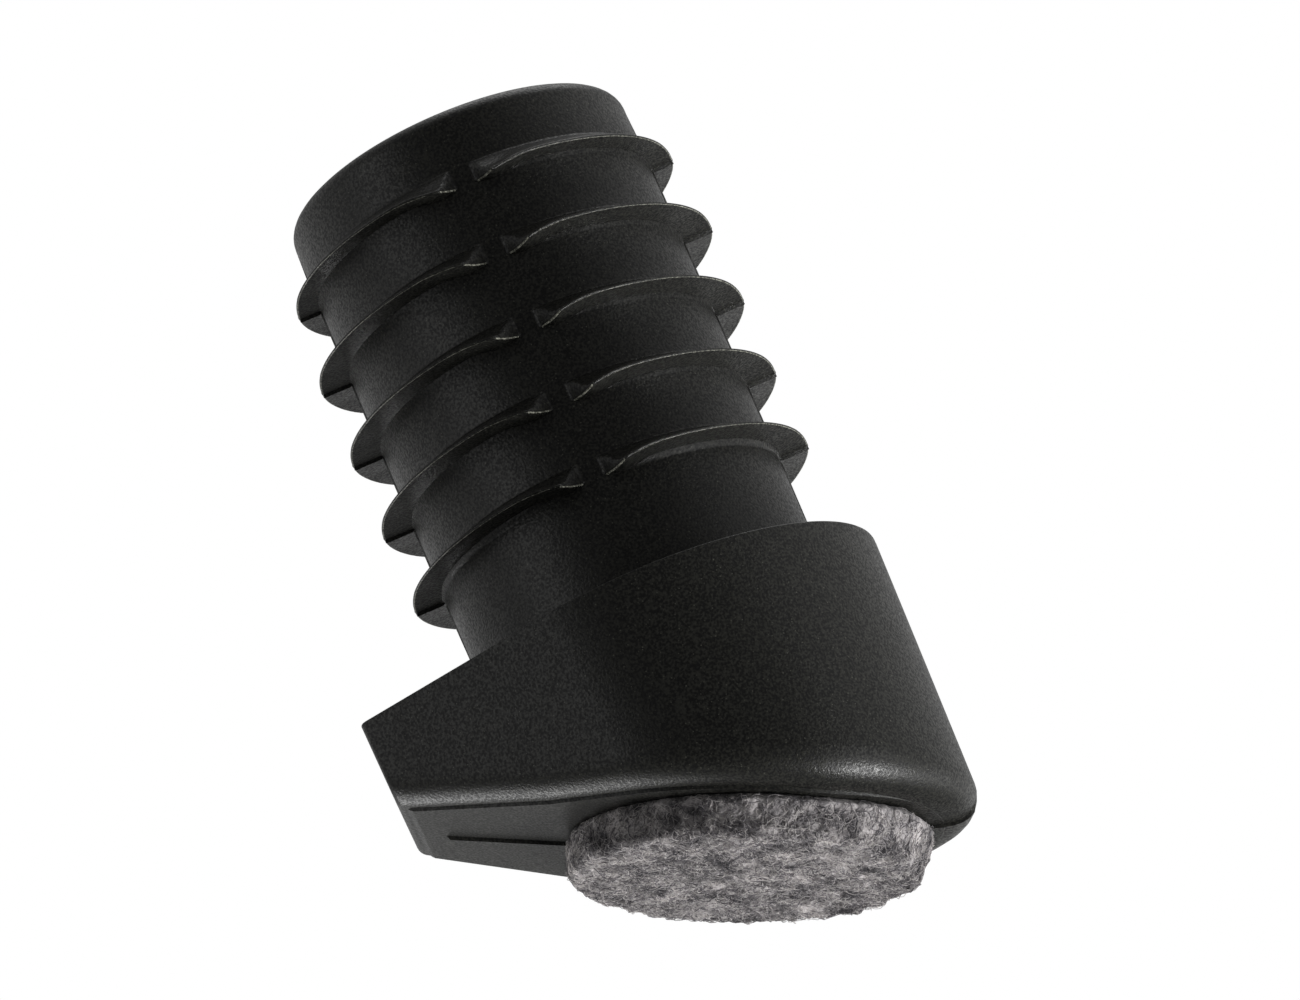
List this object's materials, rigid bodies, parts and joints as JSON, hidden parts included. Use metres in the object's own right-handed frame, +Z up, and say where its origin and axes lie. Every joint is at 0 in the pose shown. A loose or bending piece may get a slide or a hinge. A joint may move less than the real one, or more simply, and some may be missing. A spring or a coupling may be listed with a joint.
{
  "type": "angled chair leg tip",
  "caption": "Black push-in tip for a leaning round chair leg tube: hollow barbed stem, wedge foot drawn out to a flat toe, and a grey felt disc glued under the sole.",
  "frame": {"origin": "centre of the felt's underside, on the floor", "axes": "+Z up from the floor, the stem leans towards -X over the toe, +X towards the long round side of the foot, and the XZ plane is the plane of symmetry"},
  "size_m": [0.0378, 0.0254, 0.0441],
  "materials": {
    "moulded_plastic": "matte black with a fine spark-eroded grain",
    "felt": "grey melange needle felt, fuzzy"
  },
  "bodies": {
    "root": {"plug_body": "moulded_plastic", "felt_pad": "felt"}
  },
  "joints": []
}
